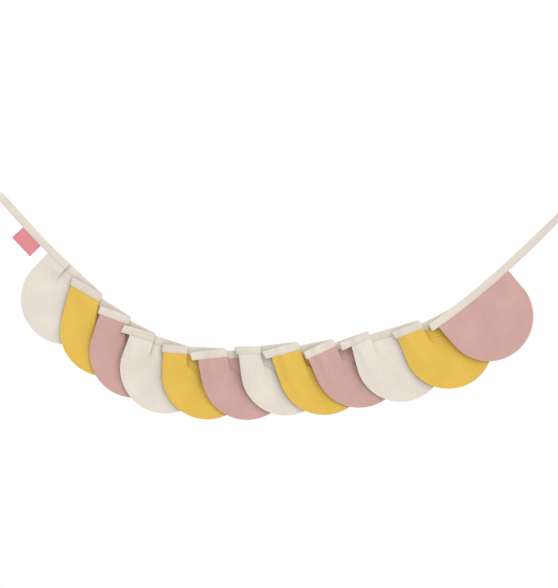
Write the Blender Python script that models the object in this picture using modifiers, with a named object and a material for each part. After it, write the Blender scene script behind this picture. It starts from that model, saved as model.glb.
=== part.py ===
"""Linen garland: twelve half-round flags whose top edges sit in one folded binding tape.

The tape hangs in a swag from its two ends and is folded back on itself between the flags, so that
each flag lies in front of its left neighbour. It is seen from -Y. The origin is the tape's left end,
where the garland is held. Lengths in the tables are millimetres, angles are degrees.
"""

import math
from collections import namedtuple

import bmesh
import bpy
import numpy as np
from mathutils import Matrix, Vector

MM = 0.001

# Flag, cut with a straight top, two short straight sides and a half-round bottom
FLAG_WIDTH = 200.0
FLAG_SIDE = 49.0
FLAG_RADIUS = FLAG_WIDTH / 2
FLAG_THICKNESS = 1.0
ROUND_STEPS = 12
NEAREST_COLUMN = 3.5
SIDE_MARGIN = 0.5

# Tape, a strip folded over the flags' top edges, with a slot between its two leaves
TAPE_WIDTH = 17.5
TAPE_LEAF = 1.0
TAPE_TOP_WALL = 1.0
FIT_GAP = 0.3
TOP_GAP = 0.4
SLOT_CLOSED = 0.15
SLOT_OPEN = FLAG_THICKNESS / 2 + FIT_GAP
SLOT_EASE = 3.0
TAPE_THICKNESS = 2 * (SLOT_OPEN + TAPE_LEAF)
HALF_TAPE = TAPE_WIDTH / 2
DOWNWARD_SIDES = (2, 6)

# Folded layers of tape rest on one another, with a limited slope from one height to the next
LAYER_GAP = 0.8
LAYER = TAPE_THICKNESS + LAYER_GAP
STACK_SLOPE = 0.3
STACK_REACH = 8.0
STACK_STEP = 1.0
STACK_MARGIN = 30.0
DEPTH_ERROR = 0.25
TURN_STEPS = 3
SKEW_EASE = 12.0
FOLD_INSET = LAYER / 2 + TAPE_THICKNESS / 2
FOLDED_ENDS = 5
END_MARGIN = 1.0

# Below the tape the cloth leaves the tucks and hangs as a flat half-round
TOP_IN_SLOT = HALF_TAPE - TAPE_TOP_WALL - TOP_GAP
BELOW_TAPE = 1.5
TUCK_SHARE = 0.38
TUCK_ROWS = (0.3, 0.5, 0.65, 1.0)
ROW_SHARES = tuple(TUCK_SHARE * row for row in TUCK_ROWS) + (1.0,)
LEAST_FOLD = 0.02
FOLD_ANGLE = math.radians(20.0)
TURN_LENGTH = 6.0
DEPTH_FADE = 120.0
SHIFT_FADE = 70.0
HANG_FRONT = -13.0
LEAN_BACK = 0.07
WAVE = 0.9
WAVE_SHIFT = 1.7
LIFT_DROP, LIFT_SPREAD, LIFT_WIDTH = 50.0, 38.0, 60.0

# The two free ends of the tape, and where the last flag's cloth ends
LEFT_END_SLOPE = -48.0
RIGHT_END = (1270.0, -46.0)
RIGHT_END_SLOPE = 45.5
LAST_CORNER = (1136.0, -176.0)
LAST_CORNER_SLOPE = 42.0
LEFT_TWIST, LEFT_TWIST_REACH = 58.0, 48.0
RIGHT_TWIST = 36.0
LEFT_ARM_PLACES = (0.0, 10.0, 20.0, 32.0, 55.0, 80.0)
ARM_STEPS = 7
SLOPE_SHARE = 0.01
LABEL_STEPS = 2

# Sewn-in label on the left arm
LABEL_START = 107.0
LABEL_LENGTH = 57.0
LABEL_DROP = 33.0
LABEL_THICKNESS = 1.0
LABEL_CURL = 2.0
LABEL_DROPS = (BELOW_TAPE, LABEL_DROP / 2, LABEL_DROP)

# left_x, left_z: middle of the tape's left fold; slope, run: the front run of tape from there;
# drop: how far the strip behind lies below the run at the tuck; strip_slope, strip: that strip;
# skew: lean of the left fold; tab: bare tape before the cloth; hang_x, hang_z, hang_slope: middle
# of the round bottom and the flag's tilt; lift: how far the left edge stands forward
Row = namedtuple(
    "Row",
    "cloth left_x left_z slope run drop strip_slope strip skew tab hang_x hang_z hang_slope lift",
)
FLAGS = (
    Row("cream", 126, -137, -44.0, 54, 0.0, -42.8, 98, 0, 0, 161, -246, -44, 0.0),
    Row("yellow", 171, -205, -29.0, 79, 10.4, -32.5, 72, -11, 5, 248, -316, -24, 1.0),
    Row("pink", 234, -268, -20.6, 74, 8.9, -26.3, 60, -2, 6, 313, -364, -20, 1.0),
    Row("cream", 286, -309, -17.2, 76, 3.3, -18.0, 82, 11, 21, 381, -399, -17, 3.5),
    Row("yellow", 373, -353, -5.5, 59, 0.0, -2.9, 82, 4, 5, 474, -412, -3, 1.0),
    Row("pink", 437, -373, 6.4, 82, 4.9, 3.0, 87, -11, 17, 562, -413, 6, 1.5),
    Row("cream", 535, -360, 2.5, 58, 0.0, 6.8, 81, -10, 5, 648, -403, 10, 3.0),
    Row("yellow", 599, -371, 16.4, 82, 10.0, 12.4, 76, -17, 17, 732, -402, 16, 1.0),
    Row("pink", 689, -371, 24.7, 73, 11.0, 19.5, 76, 2, 5, 810, -386, 23.5, 1.5),
    Row("cream", 768, -351, 23.5, 71, 10.9, 16.7, 118, 6, 24, 902, -373, 15, 4.0),
    Row("yellow", 885, -328, 23.3, 69, 8.9, 27.0, 81, -15, 5, 1008, -344, 23.3, 1.0),
    Row("pink", 966, -309, 33.0, 0, 0.0, 0.0, 0, 4, 18, 1097, -283, 38.5, 1.0),
)

CLOTHS = {
    "cream": (0.79, 0.73, 0.65),
    "yellow": (0.78, 0.50, 0.06),
    "pink": (0.62, 0.34, 0.31),
    "tape": (0.80, 0.75, 0.67),
    "label": (0.80, 0.25, 0.27),
}
LINEN_ROUGHNESS = 0.9

# The swag's line: place and slope where the tape starts, at each left fold, and on the right arm
SWAG_X = [0.0] + [row.left_x for row in FLAGS] + [LAST_CORNER[0], RIGHT_END[0]]
SWAG_Z = [0.0] + [row.left_z for row in FLAGS] + [LAST_CORNER[1], RIGHT_END[1]]
SWAG_SLOPE = [LEFT_END_SLOPE] + [row.slope for row in FLAGS] + [LAST_CORNER_SLOPE, RIGHT_END_SLOPE]

# Each fold joins the layer that arrives to the one that leaves; a layer is a kind and a flag's row
Fold = namedtuple("Fold", "arrives leaves place line")
Station = namedtuple("Station", "centre cross reach")


def direction(degrees):
    """Unit vector in the hanging plane, as (x, z)."""
    angle = math.radians(degrees)
    return Vector((math.cos(angle), math.sin(angle)))


def upright(vector):
    """The unit vector at right angles to this one, turned so that it points up."""
    across = Vector((-vector.y, vector.x)).normalized()
    return across if across.y > 0 else -across


def turned(vector, degrees):
    return Matrix.Rotation(math.radians(degrees), 2) @ vector


def ease(share):
    share = min(max(share, 0.0), 1.0)
    return share * share * (3 - 2 * share)


def in_space(plane, depth):
    """A point of the hanging plane at a depth behind it."""
    return Vector((plane.x, depth, plane.y))


def below_swag(plane):
    """How far a point of the hanging plane lies below the swag's line."""
    return float(np.interp(plane.x, SWAG_X, SWAG_Z)) - plane.y


def along_swag(plane):
    """Where a point's square foot on the swag's line is, from left to right."""
    slope = math.radians(float(np.interp(plane.x, SWAG_X, SWAG_SLOPE)))
    return plane.x - math.tan(slope) * below_swag(plane)


def tab_of(number):
    """Bare tape between a left fold and the flag's cloth."""
    return max(FLAGS[number].tab, FOLD_INSET) if number else 0.0


def tuck_length(number):
    """Length of the tuck that takes up what the runs of a flag's top edge have no room for.

    The front run, the tuck's two layers and the strip hold the whole top edge, less what the ends
    of the runs lose to the folds and plus the tuck's two half-turns.
    """
    row = FLAGS[number]
    runs = row.run + row.strip - tab_of(number) - FOLDED_ENDS * FOLD_INSET
    return (FLAG_WIDTH + END_MARGIN - runs - math.pi * LAYER) / 2


def hung(row):
    """Left corner of a flag as it hangs, and its directions along the top and down."""
    along = direction(row.hang_slope)
    down = -upright(along)
    return Vector((row.hang_x, row.hang_z)) - FLAG_RADIUS * along - FLAG_SIDE * down, along, down


def folds():
    """Every fold of the tape, in order along its length."""
    found = []
    for number, row in enumerate(FLAGS):
        left = Vector((row.left_x, row.left_z))
        if number:
            line = turned(upright(direction(row.slope)), -row.skew)
            found.append(Fold(("return", number - 1), ("front", number), left, line))
        if row.run:
            right = left + row.run * direction(row.slope)
            level = right - Vector((0.0, row.drop))
            back = level - tuck_length(number) * direction(row.strip_slope)
            end = level + row.strip * direction(row.strip_slope)
            found.append(Fold(("front", number), ("tuck", number), right, None))
            found.append(Fold(("tuck", number), ("strip", number), back, None))
            found.append(Fold(("strip", number), ("return", number), end, None))
    places = [Vector((FLAGS[0].left_x, FLAGS[0].left_z))] + [f.place for f in found]
    places.append(Vector(LAST_CORNER))
    for i, fold in enumerate(found):
        if fold.line is None:
            arriving = (places[i + 1] - places[i]).normalized()
            leaving = (places[i + 2] - places[i + 1]).normalized()
            found[i] = fold._replace(line=upright(arriving - leaving))
    return found


def stacked(bends):
    """Depth of each layer of tape along the swag, each resting on the layers behind it."""
    ends = {("front", 0): [0.0], ("front", len(FLAGS) - 1): [RIGHT_END[0] + STACK_MARGIN]}
    for fold in bends:
        for layer in (fold.arrives, fold.leaves):
            ends.setdefault(layer, []).append(along_swag(fold.place))
    for number, row in enumerate(FLAGS[:-1]):
        corner, along, _ = hung(row)
        ends[("strip", number)].append(along_swag(corner + FLAG_WIDTH * along))
    grid = np.arange(-STACK_MARGIN, RIGHT_END[0] + STACK_MARGIN, STACK_STEP)
    behind = np.zeros(len(grid))
    depths = {}
    for number in range(len(FLAGS)):
        for kind in ("strip", "tuck", "front", "return"):
            layer = (kind, number)
            if layer not in ends:
                continue
            low, high = min(ends[layer]) - STACK_REACH, max(ends[layer]) + STACK_REACH
            inside = (grid >= low) & (grid <= high)
            height = np.where(inside, behind + LAYER / 2, -np.inf)
            for sweep in (range(1, len(grid)), range(len(grid) - 2, -1, -1)):
                for i in sweep:
                    before = i - sweep.step
                    height[i] = max(height[i], height[before] - STACK_SLOPE * STACK_STEP)
            behind = np.where(inside, height + LAYER / 2, behind)
            depths[layer] = LAYER / 2 - height
    return grid, depths


def curve(start, start_slope, end, end_slope):
    """A smooth arm of the swag between two points, as a function of its share, and its chord."""
    chord = (end - start).length
    leave, arrive = chord * direction(start_slope), chord * direction(end_slope)

    def at(share):
        bend = share * (1 - share)
        return start.lerp(end, ease(share)) + bend * ((1 - share) * leave - share * arrive)

    return at, chord


def left_twist(place):
    """Turn of the tape about its own line near its left end."""
    return LEFT_TWIST * (1 - ease(place / LEFT_TWIST_REACH))


class Tape:
    """The tape's middle surface as a row of stations, and the reach of each flag's cloth along it."""

    def __init__(self):
        self.stations = []
        self.spans = []
        self.bends = folds()
        self.grid, self.depths = stacked(self.bends)
        self.lay()

    def depth(self, layer, plane):
        return float(np.interp(along_swag(plane), self.grid, self.depths[layer]))

    def put(self, plane, half, depth, twist=0.0):
        """Adds a station of the tape and gives its reach."""
        angle = math.radians(twist)
        centre = in_space(plane, depth)
        cross = in_space(half, 0.0) * math.cos(angle) + Vector((0, HALF_TAPE * math.sin(angle), 0))
        reach = 0.0
        if self.stations:
            reach = self.stations[-1].reach + (centre - self.stations[-1].centre).length
        self.stations.append(Station(centre, cross, reach))
        return reach

    def arm(self, at, chord, layer, places, twist, line=None):
        """Stations along an arm of the swag; a line given is the fold line that it starts from."""
        reaches = []
        for low, high in zip(places, places[1:]):
            places = places + self.splits(layer, lambda place: at(place / chord), low, high)
        for place in sorted(places):
            share = place / chord
            ahead, back = min(share + SLOPE_SHARE, 1.0), max(share - SLOPE_SHARE, 0.0)
            square = upright(at(ahead) - at(back))
            lean = square
            if line:
                lean = (square + (1 - ease(place / SKEW_EASE)) * (line - square)).normalized()
            half = lean * HALF_TAPE / lean.dot(square)
            reaches.append(self.put(at(share), half, self.depth(layer, at(share)), twist(place)))
        return reaches

    def turn_of(self, fold, arriving):
        """Axis, outward direction and radius of a fold's turn."""
        outward = Vector((fold.line.y, -fold.line.x))
        outward = outward if outward.dot(arriving) > 0 else -outward
        gap = self.depth(fold.leaves, fold.place) - self.depth(fold.arrives, fold.place)
        radius = abs(gap) / 2
        return fold.place - (radius + TAPE_THICKNESS / 2) * outward, outward, radius

    def turn(self, fold, axis, outward, radius):
        """Stations around a fold, as a half-turn in depth about the fold's line."""
        for i in range(1, TURN_STEPS):
            angle = math.pi * (i / TURN_STEPS - 0.5)
            share = (1 + math.sin(angle)) / 2
            place = axis + radius * math.cos(angle) * outward
            depth = self.depth(fold.arrives, axis)
            depth += share * (self.depth(fold.leaves, axis) - depth)
            self.put(place, fold.line * HALF_TAPE, depth)

    def splits(self, layer, at, near, far):
        """Places of a run, between two others, where its depth leaves a straight line."""
        places = [float(place) for place in np.arange(near, far, STACK_STEP)[1:]]
        if not places:
            return []
        depths = [self.depth(layer, at(place)) for place in (near, *places, far)]
        error = abs(np.interp(places, (near, far), (depths[0], depths[-1])) - depths[1:-1])
        if error.max() < DEPTH_ERROR:
            return []
        middle = places[error.argmax()]
        return self.splits(layer, at, near, middle) + [middle] + self.splits(layer, at, middle, far)

    def run(self, start, end, lines, layer):
        """Stations along a straight run between two turns, whose cross-lines ease into the folds."""
        along = (end - start).normalized()
        length = (end - start).length
        square = upright(along)
        hidden = layer[0] in ("tuck", "return")
        near = min(SKEW_EASE, length / 3)
        places = [0.0, length] if hidden else [0.0, near, length - near, length]
        for low, high in zip(places, places[1:]):
            places = places + self.splits(layer, lambda place: start + place * along, low, high)
        reaches = []
        for place in sorted(places):
            ease_in = 1 - ease(place / near)
            ease_out = 1 - ease((length - place) / near)
            line = square + ease_in * (lines[0] - square) + ease_out * (lines[1] - square)
            if hidden:
                line = lines[0].lerp(lines[1], place / length)
            line = line.normalized()
            half = line * HALF_TAPE / line.dot(square)
            centre = start + place * along
            reaches.append(self.put(centre, half, self.depth(layer, centre)))
        return reaches

    def cloth_from(self, number, reach, turned_in):
        """Starts a flag's cloth, past the bare tab of its tape."""
        self.spans.append([reach + max(tab_of(number) - turned_in, 0.0), reach])

    def lay(self):
        """Lays the whole tape: left arm, the folded runs of the flags, and the right arm."""
        last = len(FLAGS) - 1
        corner = Vector((FLAGS[0].left_x, FLAGS[0].left_z))
        at, chord = curve(Vector((0, 0)), LEFT_END_SLOPE, corner, FLAGS[0].slope)
        label = [LABEL_START + LABEL_LENGTH * i / LABEL_STEPS for i in range(LABEL_STEPS + 1)]
        places = list(LEFT_ARM_PLACES) + [label[0] - SLOT_EASE] + label
        places += [label[-1] + SLOT_EASE, chord - SLOT_EASE]
        self.arm(at, chord, ("front", 0), places, left_twist)

        start, place, line = corner, corner, upright(direction(FLAGS[0].slope))
        for fold in self.bends:
            kind, number = fold.arrives
            axis, outward, radius = self.turn_of(fold, fold.place - place)
            reaches = self.run(start, axis, (line, fold.line), fold.arrives)
            if kind == "front":
                self.cloth_from(number, reaches[0], (start - place).length)
            if kind == "strip":
                self.spans[-1][1] = reaches[-1] - END_MARGIN
            self.turn(fold, axis, outward, radius)
            start, place, line = axis, fold.place, fold.line

        at, chord = curve(start, FLAGS[-1].slope, Vector(LAST_CORNER), LAST_CORNER_SLOPE)
        places = [0.0, SKEW_EASE] + [chord * i / ARM_STEPS for i in range(1, ARM_STEPS + 1)]
        reaches = self.arm(at, chord, ("front", last), places, lambda place: 0.0, line)
        self.cloth_from(last, reaches[0], (start - place).length)
        self.spans[-1][1] = reaches[-1]
        at, chord = curve(Vector(LAST_CORNER), LAST_CORNER_SLOPE, Vector(RIGHT_END), RIGHT_END_SLOPE)
        places = [SLOT_EASE] + [chord * i / ARM_STEPS for i in range(1, ARM_STEPS + 1)]
        self.arm(at, chord, ("front", last), places, lambda place: RIGHT_TWIST * ease(place / chord))

    def station(self, reach):
        """A station at any distance along the tape, between the two laid ones nearest to it."""
        for here, there in zip(self.stations, self.stations[1:]):
            if here.reach <= reach <= there.reach:
                share = (reach - here.reach) / (there.reach - here.reach)
                centre = here.centre.lerp(there.centre, share)
                return Station(centre, here.cross.lerp(there.cross, share), reach)
        return self.stations[-1]


def normals(stations):
    """At each station the surface normal times the stretch that keeps the thickness at a bend."""
    found = []
    for i, station in enumerate(stations):
        before = station.centre - stations[max(i - 1, 0)].centre
        after = stations[min(i + 1, len(stations) - 1)].centre - station.centre
        sides = [s.cross(station.cross).normalized() for s in (before, after) if s.length > 0]
        normal = sum(sides, Vector()).normalized()
        found.append(normal / normal.dot(sides[0]))
    return found


def slots(stations, spans):
    """Half the width of the tape's slot at each station: open round cloth, closed elsewhere."""
    reaches = [station.reach for station in stations]
    found = []
    for before, after in zip(reaches[:1] + reaches[:-1], reaches[1:] + reaches[-1:]):
        filled = any(before < end and start < after for start, end in spans)
        found.append(SLOT_OPEN if filled else SLOT_CLOSED)
    return found


def material(name):
    made = bpy.data.materials.new(name)
    made.use_nodes = True
    shader = made.node_tree.nodes["Principled BSDF"]
    shader.inputs["Base Color"].default_value = (*CLOTHS[name], 1.0)
    shader.inputs["Roughness"].default_value = LINEN_ROUGHNESS
    shader.inputs["Metallic"].default_value = 0.0
    return made


def new_object(name, bm, cloth, collection):
    mesh = bpy.data.meshes.new(name)
    bm.to_mesh(mesh)
    bm.free()
    mesh.materials.append(cloth)
    made = bpy.data.objects.new(name, mesh)
    collection.objects.link(made)
    return made


def tape_solid(tape, spans, cloth, collection):
    """The tape as one closed loft of its folded section along the stations."""
    bm = bmesh.new()
    rings = []
    roof = 1 - TAPE_TOP_WALL / HALF_TAPE
    stations = tape.stations
    for station, normal, slot in zip(stations, normals(stations), slots(stations, spans)):
        outer = slot + TAPE_LEAF
        section = ((-1, outer), (1, outer), (1, -outer), (-1, -outer))
        section += ((-1, -slot), (roof, -slot), (roof, slot), (-1, slot))
        points = [station.centre + up * station.cross + off * normal for up, off in section]
        rings.append([bm.verts.new(p * MM) for p in points])
    count = len(rings[0])
    for here, there in zip(rings, rings[1:]):
        for i in range(count):
            j = (i + 1) % count
            if i in DOWNWARD_SIDES:
                bm.faces.new((here[i], here[j], there[i]))
                bm.faces.new((here[j], there[j], there[i]))
            else:
                bm.faces.new((here[i], here[j], there[j]))
                bm.faces.new((here[i], there[j], there[i]))
    for ring in (rings[0], rings[-1]):
        bm.faces.new((ring[0], ring[1], ring[6], ring[7]))
        bm.faces.new((ring[1], ring[2], ring[5], ring[6]))
        bm.faces.new((ring[2], ring[3], ring[4], ring[5]))
    bmesh.ops.recalc_face_normals(bm, faces=bm.faces)
    return new_object("tape", bm, cloth, collection)


def flag_drop(across):
    """Length of a flag's cloth below the tape at a place across it."""
    inside = FLAG_RADIUS**2 - (FLAG_RADIUS - across) ** 2
    return FLAG_SIDE + math.sqrt(max(inside, 0.0))


def columns_between(start, end, shares, tape):
    """Stations across a sewn-in sheet: those of its tape, and its own at shares of its width."""
    laid = [station.reach for station in tape.stations]
    reaches = [start, end] + [r for r in laid if start + SIDE_MARGIN < r < end - SIDE_MARGIN]
    for share in shares:
        reach = start + (end - start) * share
        if min(abs(reach - other) for other in reaches) > NEAREST_COLUMN:
            reaches.append(reach)
    return [tape.station(reach) for reach in sorted(reaches)]


class Fall:
    """How a flag's cloth opens out of the tuck below the tape, in steps across it."""

    def __init__(self, hems, across, along, down):
        moves = [b - a for a, b in zip(hems, hems[1:])]
        runs = np.array([along.dot((m.x, m.z)) for m in moves])
        rises = np.array([m.y for m in moves])
        self.aside = np.array([down.dot((m.x, m.z)) for m in moves])
        self.flat = np.diff(across)
        self.length = np.hypot(runs, rises)
        angle = np.arctan2(rises, runs)
        self.angle = np.where(angle < -math.pi / 2, math.pi, angle)
        self.tucked = abs(self.angle) > FOLD_ANGLE

    def at(self, steps, share):
        """Way along the flag, way down it and share of the way back after so many steps."""
        angle = self.angle * max(share, LEAST_FOLD)
        lengths = self.flat + (self.length - self.flat) * share
        backs = np.where(self.tucked, np.minimum(self.length, TURN_LENGTH) * np.sin(angle), 0.0)
        if self.tucked.any():
            backs /= backs.sum()
        ways = (lengths * np.cos(angle), self.aside * share, backs)
        return [float(way[:steps].sum()) for way in ways]


def flag_sheet(number, row, tape):
    """Rows of points of one flag's middle surface, from inside the slot to the round edge."""
    start, end = tape.spans[number]
    corner, along, down = hung(row)
    shares = [(1 - math.cos(math.pi * i / ROUND_STEPS)) / 2 for i in range(1, ROUND_STEPS)]
    stations = columns_between(start, end, shares, tape)
    across = [(s.reach - start) / (end - start) * FLAG_WIDTH for s in stations]
    tops = [s.centre + s.cross * TOP_IN_SLOT / HALF_TAPE for s in stations]
    hems = [s.centre - s.cross * (HALF_TAPE + BELOW_TAPE) / HALF_TAPE for s in stations]
    shift = Vector((hems[0].x, hems[0].z)) - corner - BELOW_TAPE * down
    fall = Fall(hems, across, along, down)
    front, behind = ("front", number), ("strip" if row.run else "front", number)
    rows = [tops, hems]
    for share in ROW_SHARES:
        folded = 1 - ease(share / TUCK_SHARE)
        points = []
        for steps, place in enumerate(across):
            drop = BELOW_TAPE + (flag_drop(place) - BELOW_TAPE) * share
            way, aside, back = fall.at(steps, folded)
            slide = 1 - ease(drop / SHIFT_FADE)
            plane = corner + drop * down + slide * shift + way * along + aside * down
            stack = tape.depth(front, plane)
            stack += back * (tape.depth(behind, plane) - stack)
            stacked_share = 1 - ease((below_swag(plane) - HALF_TAPE) / DEPTH_FADE)
            wave = WAVE * math.sin(2 * math.pi * place / FLAG_WIDTH + WAVE_SHIFT * number)
            hang = HANG_FRONT + LEAN_BACK * place + wave
            lift = row.lift * math.exp(-(((drop - LIFT_DROP) / LIFT_SPREAD) ** 2))
            lift *= 1 - ease(place / LIFT_WIDTH)
            depth = stacked_share * stack + (1 - stacked_share) * hang - lift
            points.append(in_space(plane, depth))
        rows.append(points)
    return rows


def sheet_object(name, rows, thickness, cloth, collection):
    """An open sheet through rows of points, given its thickness by Solidify."""
    bm = bmesh.new()
    grid = [[bm.verts.new(p * MM) for p in row] for row in rows]
    for upper, lower in zip(grid, grid[1:]):
        for i in range(len(upper) - 1):
            bm.faces.new((lower[i], lower[i + 1], upper[i + 1]))
            bm.faces.new((lower[i], upper[i + 1], upper[i]))
    made = new_object(name, bm, cloth, collection)
    solid = made.modifiers.new("thickness", "SOLIDIFY")
    solid.thickness = thickness * MM
    solid.offset = 0.0
    return made


def label_span():
    return [LABEL_START, LABEL_START + LABEL_LENGTH]


def label_sheet(tape):
    """Rows of points of the label, whose top edge is sewn into the slot."""
    columns = columns_between(*label_span(), [], tape)
    rows = [[s.centre + s.cross * TOP_IN_SLOT / HALF_TAPE for s in columns]]
    for drop in LABEL_DROPS:
        curl = Vector((0, -LABEL_CURL * (drop / LABEL_DROP) ** 2, 0))
        rows.append([s.centre - s.cross * (HALF_TAPE + drop) / HALF_TAPE + curl for s in columns])
    return rows


def build():
    for thing in list(bpy.data.objects):
        bpy.data.objects.remove(thing, do_unlink=True)
    collection = bpy.data.collections.new("linen_garland")
    bpy.context.scene.collection.children.link(collection)
    cloths = {name: material(name) for name in CLOTHS}
    tape = Tape()
    tape_solid(tape, tape.spans + [label_span()], cloths["tape"], collection)
    for number, row in enumerate(FLAGS):
        rows = flag_sheet(number, row, tape)
        name = f"flag_{number + 1:02d}_{row.cloth}"
        sheet_object(name, rows, FLAG_THICKNESS, cloths[row.cloth], collection)
    sheet_object("label", label_sheet(tape), LABEL_THICKNESS, cloths["label"], collection)


build()
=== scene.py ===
"""Looks of the linen garland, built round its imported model.

Twelve flags of double linen hang from one folded binding tape with a row of stitches, and a bare
label is sewn into the tape's left arm. Lengths in the tables are millimetres, angles are degrees,
and the garland is seen from -Y.
"""

import math
from collections import namedtuple

import bpy
import numpy as np
from mathutils import Matrix, Vector


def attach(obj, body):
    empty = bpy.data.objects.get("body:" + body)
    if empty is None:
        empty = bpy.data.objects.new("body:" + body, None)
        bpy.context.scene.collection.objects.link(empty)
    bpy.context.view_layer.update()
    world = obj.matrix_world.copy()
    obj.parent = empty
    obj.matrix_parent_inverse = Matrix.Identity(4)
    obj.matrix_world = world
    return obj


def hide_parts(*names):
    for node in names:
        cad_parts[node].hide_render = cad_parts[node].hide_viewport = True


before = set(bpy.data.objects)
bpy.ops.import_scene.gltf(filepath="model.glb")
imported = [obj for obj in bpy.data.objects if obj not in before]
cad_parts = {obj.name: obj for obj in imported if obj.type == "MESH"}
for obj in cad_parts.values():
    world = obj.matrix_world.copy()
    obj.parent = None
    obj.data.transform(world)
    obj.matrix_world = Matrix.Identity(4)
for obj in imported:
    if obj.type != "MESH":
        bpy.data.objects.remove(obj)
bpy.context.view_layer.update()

MM = 0.001

# Camera: the picture is 558 by 588 pixels, and the sensor spans its height, the longer side
PHOTO_HEIGHT = 588
MM_PER_PIXEL = 2.22
VIEW_CENTRE = (632.7, -234.0)
CAMERA_BACK = 5.0
SENSOR = 36.0

# Flag, cut with a straight top, two short straight sides and a half-round bottom
FLAG_WIDTH = 200.0
FLAG_SIDE = 49.0
FLAG_RADIUS = FLAG_WIDTH / 2
CLOTH_THICKNESS = 0.9
SEAM_WIDTH, SEAM_FADE, SEAM_RISE = 5.5, 1.6, 0.34
EDGE_PLACES = (0.0, 0.05, 0.15, 0.32, 0.6, 1.2)
COLUMN_GAP = 0.3
FLAG_ROWS = 62
FLAG_ROWS_END = 3.0

# Tape, a strip folded over the flags' top edges, with a slot between its two leaves
TAPE_WIDTH = 17.5
HALF_TAPE = TAPE_WIDTH / 2
TAPE_THICKNESS = 3.6
LEAF = 0.85
SLOT_CLOSED, SLOT_OPEN, SLOT_EASE = 0.12, 0.6, 3.0
STATION_STEP = 2.0
TOP_IN_SLOT = 7.2
TOP_ROW = 0.5
BELOW_TAPE = 1.5
ROWS_IN_SLOT = (TOP_IN_SLOT, TOP_IN_SLOT - TOP_ROW, 3.0, -3.0, -HALF_TAPE)

# Half the tape's section, from the lower edge to the top: height above the lower edge, shares of
# the slot's and the leaf's thickness, what is added to them, and the share of the edge's swell
STITCH_ROW = 2.1
TAPE_PROFILE = (
    (0.03, 1.0, 0.25, 0.0, 0.0),
    (0.0, 1.0, 0.5, 0.0, 0.0),
    (0.18, 1.0, 0.86, 0.0, 0.0),
    (0.7, 1.0, 1.0, 0.0, 1.0),
    (1.5, 1.0, 1.0, 0.0, 0.5),
    (STITCH_ROW, 1.0, 1.0, -0.2, 0.0),
    (2.9, 1.0, 1.0, 0.0, 0.5),
    (5.0, 1.0, 1.0, 0.06, 0.0),
    (HALF_TAPE, 1.0, 1.0, 0.08, 0.0),
    (TAPE_WIDTH - 4.5, 1.0, 1.0, 0.03, 0.0),
    (TAPE_WIDTH - 2.2, 0.93, 0.93, 0.0, 0.0),
    (TAPE_WIDTH - 0.9, 0.72, 0.72, 0.0, 0.0),
    (TAPE_WIDTH - 0.2, 0.38, 0.38, 0.0, 0.0),
    (TAPE_WIDTH, 0.0, 0.0, 0.0, 0.0),
)
INSIDE_UP, INSIDE_SHARE = 0.2, 0.9

# Stitches along the tape's lower edge
STITCH_UP = -HALF_TAPE + STITCH_ROW
# STITCH_GROOVE: width of the painted shade in the stitches' groove
STITCH_GROOVE = 0.8
STITCH_PITCH, STITCH_LENGTH = 2.8, 2.35
THREAD_RADIUS = 0.19
THREAD_ARCH, THREAD_SINK = 0.12, 0.2
THREAD_TIP, THREAD_TURN = 0.04, 0.2
STITCH_SECTIONS, THREAD_SIDES = 5, 5

# Folded layers of tape rest on one another, with a limited slope from one height to the next
LAYER = 4.4
STACK_SLOPE, STACK_REACH, STACK_STEP, STACK_MARGIN = 0.3, 8.0, 1.0, 30.0
STACK_SOFTNESS = 3.0
TURN_STEPS = 9
SKEW_EASE = 12.0
FOLD_INSET = LAYER / 2 + TAPE_THICKNESS / 2
FOLDED_ENDS = 5
END_MARGIN = 1.0
ARM_GAP = 1.0

# Below the tape the cloth leaves the tucks and hangs as a flat half-round
TUCK_HALF_OPEN = 0.19
LEAST_FOLD = 0.02
FOLD_ANGLE = math.radians(20.0)
FLAT_TUCK_ANGLE = math.radians(150.0)
TURN_LENGTH = 6.0
DEPTH_FADE = 120.0
SHIFT_FADE = 70.0
HANG_FRONT = -13.0
LEAN_BACK = 0.07
WAVE, WAVE_SHIFT = 0.9, 1.7
LIFT_DROP, LIFT_SPREAD, LIFT_WIDTH = 50.0, 38.0, 60.0

# Small waves of the cloth: amount and length of each kind, and how far it reaches
RIPPLE_WAVES = 7
RIPPLE_LENGTHS = (0.6, 1.8)
DRAPE_AMOUNT, DRAPE_LENGTH = 0.26, 85.0
CRINKLE_AMOUNT, CRINKLE_LENGTH = 0.07, 17.0
PUCKER_AMOUNT, PUCKER_LENGTH, PUCKER_REACH = 0.1, 8.5, 13.0
SEAM_PUCKER, SEAM_PUCKER_LENGTH, SEAM_PUCKER_REACH = 0.16, 11.0, 7.0
FREE_DROP, PUCKER_START = 25.0, 3.0
# SEAM_RIDGE: width of the painted shade line along the seam's ridge
SEAM_RIDGE = 1.1

# Numbers that start the waves: a flag adds its own, the others are number, amount and length
CRINKLE_FIRST, PUCKER_FIRST, SEAM_FIRST = 50, 100, 150
TAPE_SWELL = (7, 0.05, 8.0)
TAPE_SWAY = (8, 0.12, 60.0)
LABEL_WAVE = (300, 0.12, 30.0)

# Where each cloth lies in the weave's noise, so that no two pieces show the same
FLAG_GRAIN, TAPE_GRAIN, THREAD_GRAIN, LABEL_GRAIN = 31.0, 400.0, 500.0, 600.0

# The two free ends of the tape, and where the last flag's cloth ends
LEFT_END_SLOPE = -48.0
RIGHT_END, RIGHT_END_SLOPE = (1270.0, -46.0), 45.5
LAST_CORNER, LAST_CORNER_SLOPE = (1136.0, -176.0), 42.0
LEFT_TWIST, LEFT_TWIST_REACH = 58.0, 48.0
RIGHT_TWIST = 36.0
SLOPE_SHARE = 0.01

# Sewn-in label on the left arm
LABEL_START, LABEL_LENGTH, LABEL_DROP = 107.0, 57.0, 33.0
LABEL_CURL, LABEL_BOW = 2.0, 0.5
LABEL_STEP, LABEL_MARGIN = 1.5, 2.4
LABEL_THINNER = 0.9
# Place and width of the painted shade line along the label's sewn border
LABEL_BORDER, LABEL_BORDER_WIDTH = 1.4, 0.5

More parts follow.
